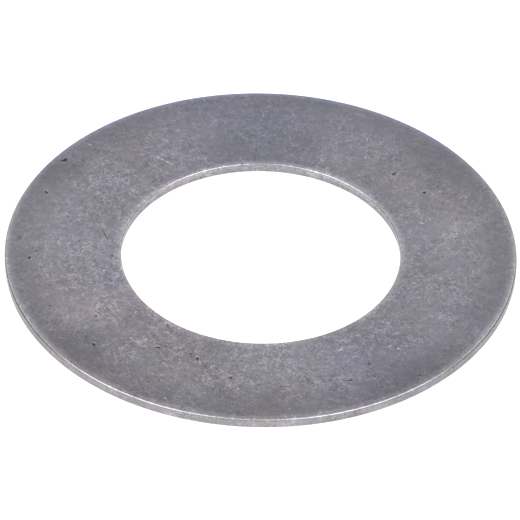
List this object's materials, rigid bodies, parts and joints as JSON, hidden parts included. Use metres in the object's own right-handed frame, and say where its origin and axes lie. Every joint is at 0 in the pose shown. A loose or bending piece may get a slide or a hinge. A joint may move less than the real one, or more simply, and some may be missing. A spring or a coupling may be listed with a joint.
{
  "type": "shim ring",
  "caption": "Flat round shim ring stamped in one piece from steel sheet, with a plain bore and tumbled edges, to fill an axial gap on a shaft or in a housing.",
  "frame": {"origin": "centre of the lower face, on the axis of the bore", "axes": "+Z along the bore's axis, from the lower face to the upper face, where the rolls of the rim and the bore are; the ring is the same all round the axis"},
  "size_m": [0.055, 0.055, 0.0011],
  "materials": {
    "tumbled_steel": "cold-rolled steel, dull from tumbling, with fine random scratches and a few small pits"
  },
  "bodies": {
    "root": {"shim_ring": "tumbled_steel"}
  },
  "joints": []
}
